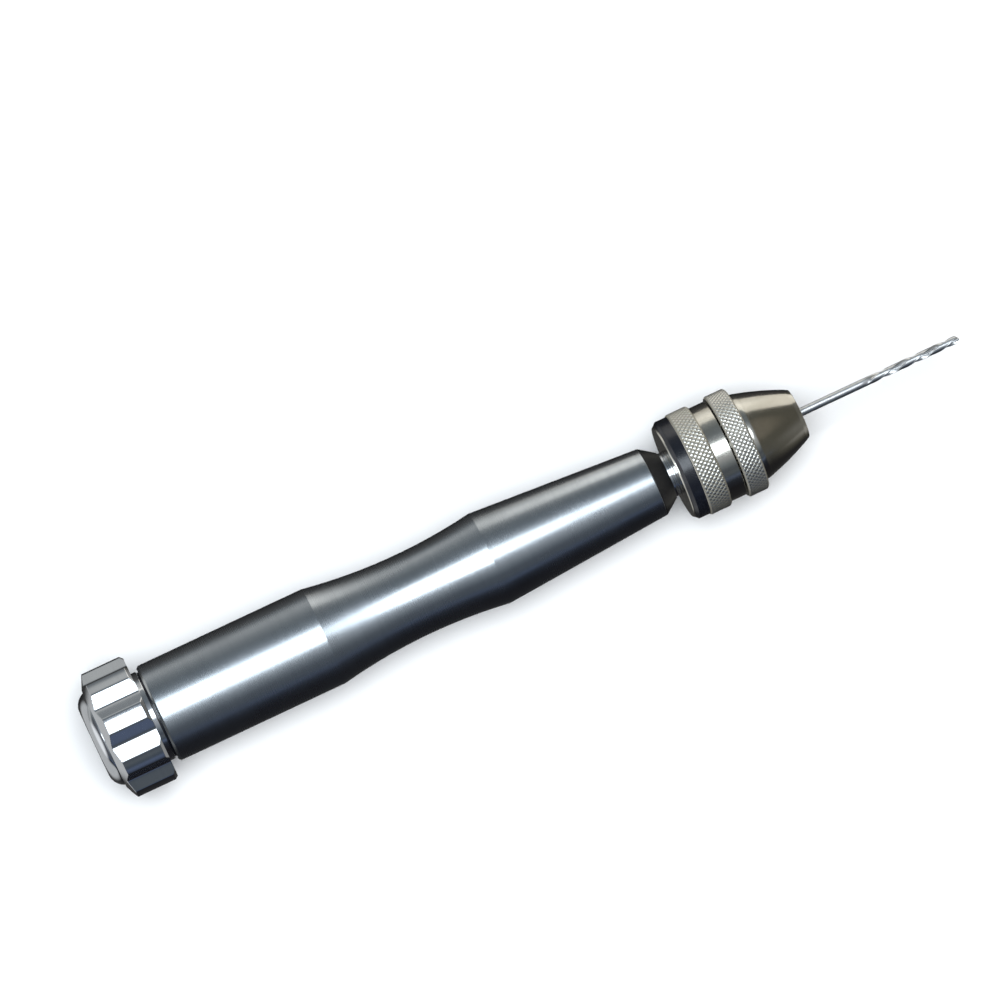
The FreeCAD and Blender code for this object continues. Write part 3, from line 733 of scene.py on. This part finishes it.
def make_lights():
    middle = AIM.x
    chuck = span("chuck_body")[0] * MM
    area_light("overhead", "ELLIPSE", (0.5, 0.33), (0, -0.025, 0.5), (0, -0.025, 0), 3.4,
               (0.84, 0.93, 1.0))
    area_light("room_fill", "RECTANGLE", (1.6, 1.6), (middle, -0.2, 1.9), (middle, 0, 0), 4.6,
               mirrored=False)
    area_light("chuck_card", "RECTANGLE", (0.5, 0.42), (chuck + 0.27, 0.42, 0.02),
               (chuck + 0.02, 0, 0), 0.70, (1.0, 0.965, 0.89), lights=False)


# What polished metal mirrors of the room, by degrees from straight up, tilting towards +Y.
SURROUNDINGS = [
    (-180, (0.06, 0.06, 0.06)),
    (-150, (0.02, 0.02, 0.022)),
    (-110, (0.012, 0.012, 0.015)),
    (-86, (0.02, 0.024, 0.034)),
    (-78, (0.10, 0.13, 0.21)),
    (-73, (0.055, 0.07, 0.09)),
    (-66, (0.10, 0.115, 0.13)),
    (-58, (0.06, 0.07, 0.09)),
    (-44, (0.16, 0.185, 0.21)),
    (-26, (0.36, 0.38, 0.41)),
    (14, (0.32, 0.355, 0.40)),
    (30, (0.14, 0.165, 0.19)),
    (48, (0.14, 0.16, 0.175)),
    (68, (0.28, 0.30, 0.31)),
    (80, (0.48, 0.49, 0.49)),
    (89, (0.44, 0.45, 0.45)),
    (95, (0.20, 0.22, 0.235)),
    (106, (0.08, 0.08, 0.08)),
    (150, (0.015, 0.015, 0.016)),
    (180, (0.06, 0.06, 0.06)),
]
BEHIND_SHADE = (0.10, 0.105, 0.12)  # up and behind the tool
BEHIND_GLOW = (0.95, 0.97, 1.0)     # straight behind it
AHEAD_SHADE = (0.080, 0.078, 0.066) # up and ahead of it
AHEAD_CEILING = (0.15, 0.138, 0.115)    # high above that
AHEAD_GLOW = (0.16, 0.16, 0.155)    # straight ahead
TABLE_AHEAD = (0.30, 0.30, 0.30)    # the pale table in front of the tool
TABLE_BEHIND = (0.52, 0.53, 0.54)   # and behind it


def make_world():
    """A dark room round a lit table: slate behind the tool, black in front and below."""
    world = bpy.data.worlds.new("studio")
    world.use_nodes = True
    bpy.context.scene.world = world
    tree = world.node_tree

    def add(kind, **settings):
        node = tree.nodes.new(kind)
        for key, value in settings.items():
            setattr(node, key, value)
        return node

    split = add("ShaderNodeSeparateXYZ")
    tree.links.new(add("ShaderNodeTexCoord").outputs["Generated"], split.inputs[0])
    turn = add("ShaderNodeCombineXYZ")
    tree.links.new(split.outputs["Z"], turn.inputs["X"])
    tree.links.new(split.outputs["Y"], turn.inputs["Y"])
    angle = add("ShaderNodeTexGradient", gradient_type="RADIAL")
    tree.links.new(turn.outputs[0], angle.inputs["Vector"])
    ramp = add("ShaderNodeValToRGB")
    tree.links.new(angle.outputs["Fac"], ramp.inputs["Fac"])
    elements = ramp.color_ramp.elements
    for _ in SURROUNDINGS[2:]:
        elements.new(0.5)
    for element, (degrees, color) in zip(elements, SURROUNDINGS):
        element.position = degrees / 360 + 0.5
        element.color = (*color, 1)

    def toward(source, start, end):
        share = add("ShaderNodeMapRange", interpolation_type="SMOOTHSTEP")
        share.inputs["From Min"].default_value = start
        share.inputs["From Max"].default_value = end
        tree.links.new(source, share.inputs["Value"])
        return share.outputs[0]

    def mix(factor, first, color):
        blend = add("ShaderNodeMix", data_type="RGBA")
        sides = [socket for socket in blend.inputs if socket.type == "RGBA"]
        sides[1].default_value = (*color, 1)
        tree.links.new(factor, blend.inputs["Factor"])
        tree.links.new(first, sides[0])
        return next(socket for socket in blend.outputs if socket.type == "RGBA")

    def both(first, second):
        product = add("ShaderNodeMath", operation="MULTIPLY")
        tree.links.new(first, product.inputs[0])
        tree.links.new(second, product.inputs[1])
        return product.outputs[0]

    x, z = split.outputs["X"], split.outputs["Z"]
    color = ramp.outputs["Color"]
    color = mix(toward(x, 0.42, 0.60), color, AHEAD_SHADE)
    color = mix(both(toward(x, 0.46, 0.58), toward(z, 0.62, 0.74)), color, AHEAD_CEILING)
    color = mix(both(toward(x, 0.55, 0.80), toward(z, 0.55, 0.25)), color, AHEAD_GLOW)
    color = mix(both(toward(x, -0.50, -0.70), toward(z, 0.12, 0.30)), color, BEHIND_SHADE)
    color = mix(both(toward(x, -0.84, -0.96), toward(z, -0.4, -0.05)), color, BEHIND_GLOW)
    color = mix(both(toward(x, 0.55, 0.70), toward(z, -0.02, -0.15)), color, TABLE_AHEAD)
    color = mix(both(toward(x, -0.35, -0.60), toward(z, 0.02, -0.20)), color, TABLE_BEHIND)
    tree.links.new(color, tree.nodes["Background"].inputs["Color"])


def make_camera():
    camera = bpy.data.cameras.new("camera")
    camera.lens = CAMERA_LENS
    camera.sensor_width = 36
    camera.clip_end = 20
    holder = bpy.data.objects.new("camera", camera)
    back = Vector((
        math.sin(CAMERA_AZIMUTH) * math.cos(CAMERA_ELEVATION),
        -math.cos(CAMERA_AZIMUTH) * math.cos(CAMERA_ELEVATION),
        math.sin(CAMERA_ELEVATION)))
    holder.location = AIM + back * CAMERA_DISTANCE
    holder.rotation_mode = "QUATERNION"
    holder.rotation_quaternion = (-back).to_track_quat("-Z", "Y")
    bpy.context.collection.objects.link(holder)
    bpy.context.scene.camera = holder


make_cap_cover()
make_swivel_cap()
make_handle()
make_front_collar()
make_neck()
make_backing_ring()
make_rear_collar()
make_front_sleeve()
make_drill_bit()
finish_cad_nodes()
make_floor()
make_lights()
make_world()
make_camera()
bpy.context.scene.view_settings.view_transform = "Standard"
